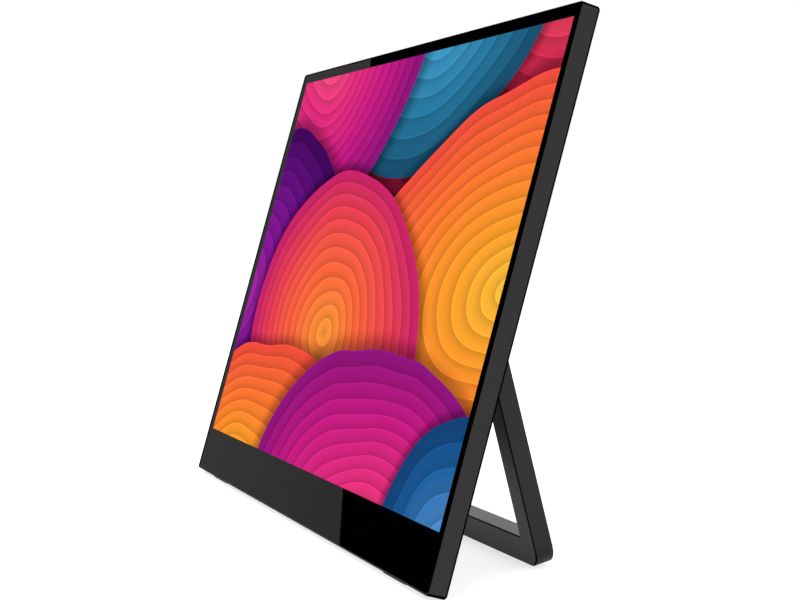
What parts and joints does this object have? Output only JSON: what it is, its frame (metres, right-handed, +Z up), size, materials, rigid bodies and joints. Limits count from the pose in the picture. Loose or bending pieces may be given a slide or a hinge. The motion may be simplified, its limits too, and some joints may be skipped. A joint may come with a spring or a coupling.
{
  "type": "portable monitor",
  "caption": "Slim portable monitor with a flush glass front, a raised housing on its back and a U-shaped stand that folds round the housing on friction hinges.",
  "frame": {"origin": "on the desk, under the middle of the width and depth of the object as it stands", "axes": "+X to the right along the screen for someone facing it, the screen faces -Y and leans back, +Z up"},
  "size_m": [0.3528, 0.0693, 0.2156],
  "materials": {
    "dark_metal": "dark anodised, fine matt",
    "screen_glass": "polished glass, black behind its border, lit picture behind the middle",
    "black_rubber": "dull moulded rubber",
    "housing_plastic": "fine spark texture",
    "key_plastic": "satin keys",
    "screw_steel": "black-plated steel",
    "inner_steel": "plain zinc-plated steel",
    "tray_metal": "thin pressed sheet",
    "socket_steel": "drawn steel shells",
    "jack_plastic": "black moulding",
    "board_green": "solder-masked board",
    "chip_black": "moulded packages",
    "film_amber": "polyimide film",
    "cable_white": "flat film cable",
    "lead_black": "soft insulated lead",
    "frame_plastic": "black moulded frame",
    "tape_black": "double-sided foam tape",
    "foam_grey": "soft open-cell foam",
    "cell_glass": "polarised liquid-crystal glass",
    "clear_plastic": "clear and frosted sheets",
    "reflector_white": "bright white film",
    "led_white": "white diodes on a thin board",
    "pad_grey": "thermal pad",
    "speaker_black": "moulded speaker box and cone",
    "mesh_black": "woven dust mesh"
  },
  "bodies": {
    "monitor": {"rear_cover": "dark_metal", "cover_glass": "screen_glass", "desk_foot_left": "black_rubber", "desk_foot_right": "black_rubber", "fold_bumpers": "black_rubber", "electronics_housing": "housing_plastic", "cover_screws": "screw_steel", "board_screws": "inner_steel", "hinge_screws": "inner_steel", "hinge_bracket_left": "inner_steel", "hinge_bracket_right": "inner_steel", "rocker_pin": "inner_steel", "shield_can": "inner_steel", "panel_tray": "tray_metal", "usb_socket_1": "socket_steel", "usb_socket_2": "socket_steel", "video_socket": "socket_steel", "audio_jack": "jack_plastic", "main_board": "board_green", "key_board": "board_green", "panel_board": "board_green", "processor": "chip_black", "board_chips": "chip_black", "panel_board_chips": "chip_black", "key_switches": "chip_black", "driver_films": "film_amber", "display_cable": "cable_white", "key_cable": "cable_white", "speaker_leads": "lead_black", "middle_frame": "frame_plastic", "glass_tape": "tape_black", "support_foam": "foam_grey", "speaker_gasket_left": "foam_grey", "speaker_gasket_right": "foam_grey", "lcd_cell": "cell_glass", "optical_films": "clear_plastic", "light_guide": "clear_plastic", "reflector_sheet": "reflector_white", "led_strip": "led_white", "heat_pad": "pad_grey", "speaker_left": "speaker_black", "speaker_right": "speaker_black", "speaker_mesh_left": "mesh_black", "speaker_mesh_right": "mesh_black"},
    "stand": {"stand_frame": "dark_metal", "stand_foot_strip": "black_rubber", "pivot_screws": "screw_steel", "hinge_shaft_left": "inner_steel", "hinge_shaft_right": "inner_steel", "hinge_washers_left": "inner_steel", "hinge_washers_right": "inner_steel", "hinge_nut_left": "inner_steel", "hinge_nut_right": "inner_steel"},
    "power_button": {"power_button": "key_plastic"},
    "back_button": {"back_button": "key_plastic"},
    "rocker": {"adjust_rocker": "key_plastic"}
  },
  "joints": [
    {"name": "stand_hinge", "type": "hinge", "parent": "monitor", "child": "stand", "pos_m": [0, 0.00568, 0.0998], "axis": [1, 0, 0], "range_deg": [-30.2, 45]},
    {"name": "power_button_slide", "type": "slide", "parent": "monitor", "child": "power_button", "axis": [-1, 0, 0], "range_m": [0, 0.00035], "stiffness_N_per_m": 1500},
    {"name": "back_button_slide", "type": "slide", "parent": "monitor", "child": "back_button", "axis": [-1, 0, 0], "range_m": [0, 0.00035], "stiffness_N_per_m": 1500},
    {"name": "rocker_hinge", "type": "hinge", "parent": "monitor", "child": "rocker", "pos_m": [0.1169, -0.01151, 0.04153], "axis": [0, -0.962, 0.273], "range_deg": [-1.8, 1.8], "stiffness_Nm_per_rad": 0.2}
  ]
}
